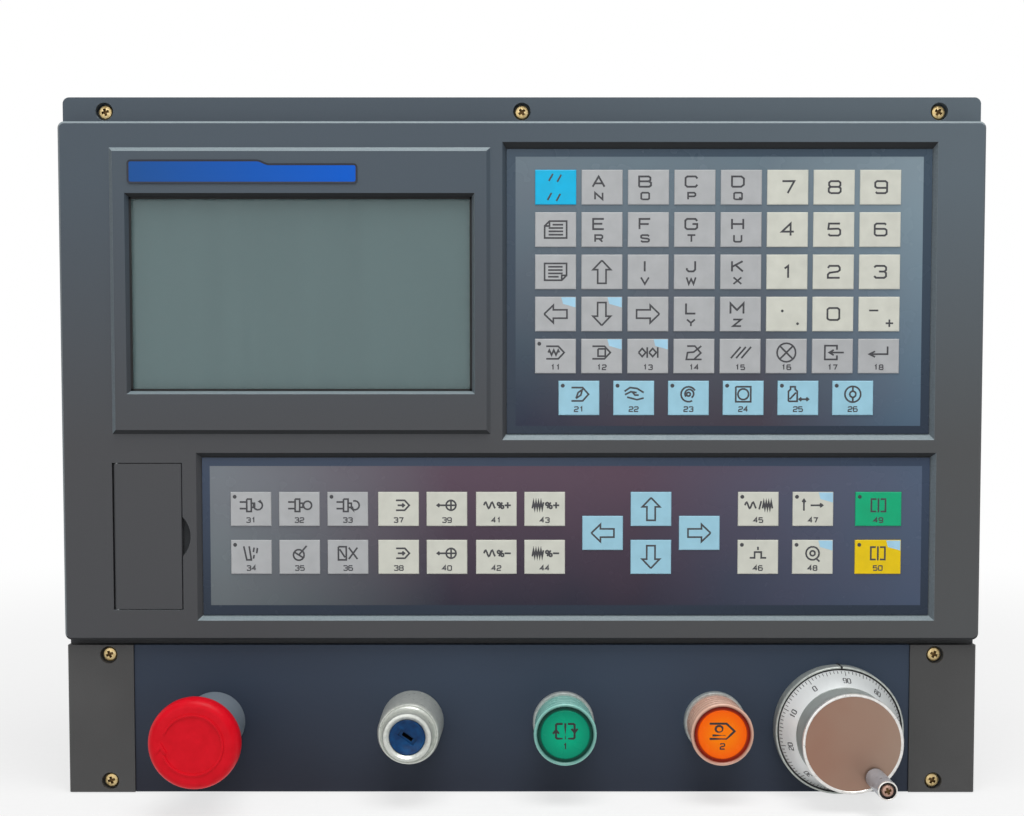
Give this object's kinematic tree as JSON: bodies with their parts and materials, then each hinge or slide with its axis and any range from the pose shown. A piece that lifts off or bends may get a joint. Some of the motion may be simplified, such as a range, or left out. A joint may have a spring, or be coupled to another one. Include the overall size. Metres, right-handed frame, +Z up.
{
  "type": "cnc lathe control panel",
  "caption": "Operator panel of a lathe: display and embossed keypads in a moulded front, above a switch panel with emergency stop, key switch, lit push buttons and a cranked handwheel.",
  "frame": {"origin": "middle of the plane that seats on the cabinet, halfway across and halfway up the whole panel", "axes": "+Y into the cabinet, so the operator stands on the -Y side; +X to the operator's right; +Z up"},
  "size_m": [0.42, 0.1629, 0.32],
  "materials": {
    "bezel_plastic": "fine grained moulding",
    "badge": "smooth, no print",
    "window": "clear acrylic",
    "steel": "plain",
    "screen": "liquid crystal cell, off",
    "zinc_plate": "zinc plated sheet",
    "film": "printed polyester film",
    "board": "glass fibre board",
    "black_plastic": "moulded",
    "brass": "plain",
    "terminal_plastic": "moulded",
    "navy_anodised": "satin powder coat",
    "cap_plastic": "fine grained moulding",
    "collar_plastic": "moulded",
    "red_plastic": "moulded",
    "chromed": "satin",
    "blue_plastic": "moulded",
    "green_lens": "translucent",
    "orange_lens": "translucent",
    "lamp": "translucent",
    "aluminium": "turned and anodised"
  },
  "bodies": {
    "panel": {"front_bezel": "bezel_plastic", "badge_plate": "badge", "display_window": "window", "display_module_frame": "steel", "display_glass_cell": "screen", "display_straps": "zinc_plate", "data_keypad_film": "film", "data_keypad_board": "board", "data_key_switches": "black_plastic", "machine_keypad_film": "film", "machine_keypad_board": "board", "machine_key_switches": "black_plastic", "port_door_pin": "steel", "port_socket": "steel", "rear_housing": "zinc_plate", "rear_cover": "zinc_plate", "main_board": "board", "board_pillars": "brass", "board_components": "black_plastic", "drive_sockets": "steel", "supply_terminal": "terminal_plastic", "switch_panel_channel": "navy_anodised", "left_end_cap": "cap_plastic", "right_end_cap": "cap_plastic", "estop_collar": "collar_plastic", "estop_contact_block": "black_plastic", "key_switch_body": "chromed", "key_switch_contact_block": "black_plastic", "button_rings": "chromed", "button_contact_blocks": "black_plastic", "button_lamps": "lamp", "handwheel_base": "black_plastic"},
    "estop_rod": {"estop_push_rod": "black_plastic"},
    "estop_head": {"estop_mushroom": "red_plastic"},
    "key_rotor": {"key_switch_rotor": "blue_plastic"},
    "start_lens": {"start_button_lens": "green_lens"},
    "hold_lens": {"hold_button_lens": "orange_lens"},
    "wheel": {"handwheel": "aluminium", "crank_pin": "steel"},
    "grip": {"crank_grip": "aluminium"},
    "door": {"port_door": "bezel_plastic"}
  },
  "joints": [
    {"name": "estop_press", "type": "slide", "parent": "panel", "child": "estop_rod", "axis": [0, 1, 0], "range_m": [0, 0.005]},
    {"name": "estop_twist", "type": "hinge", "parent": "estop_rod", "child": "estop_head", "pos_m": [-0.1422, 0, -0.1271], "axis": [0, 1, 0], "range_deg": [0, 45], "stiffness_Nm_per_rad": 0.05},
    {"name": "key_turn", "type": "hinge", "parent": "panel", "child": "key_rotor", "pos_m": [-0.0507, 0, -0.1271], "axis": [0, 1, 0], "range_deg": [0, 90]},
    {"name": "start_press", "type": "slide", "parent": "panel", "child": "start_lens", "axis": [0, 1, 0], "range_m": [0, 0.003], "stiffness_N_per_m": 1000, "springref_m": -0.001},
    {"name": "hold_press", "type": "slide", "parent": "panel", "child": "hold_lens", "axis": [0, 1, 0], "range_m": [0, 0.003], "stiffness_N_per_m": 1000, "springref_m": -0.001},
    {"name": "wheel_spin", "type": "hinge", "parent": "panel", "child": "wheel", "pos_m": [0.1455, 0, -0.1293], "axis": [0, 1, 0], "continuous": true},
    {"name": "grip_spin", "type": "hinge", "parent": "wheel", "child": "grip", "pos_m": [0.15503, 0, -0.14398], "axis": [0, 1, 0], "continuous": true},
    {"name": "door_swing", "type": "hinge", "parent": "panel", "child": "door", "pos_m": [-0.18548, -0.014, -0.04065], "axis": [0, 0, -1], "range_deg": [0, 100]}
  ]
}
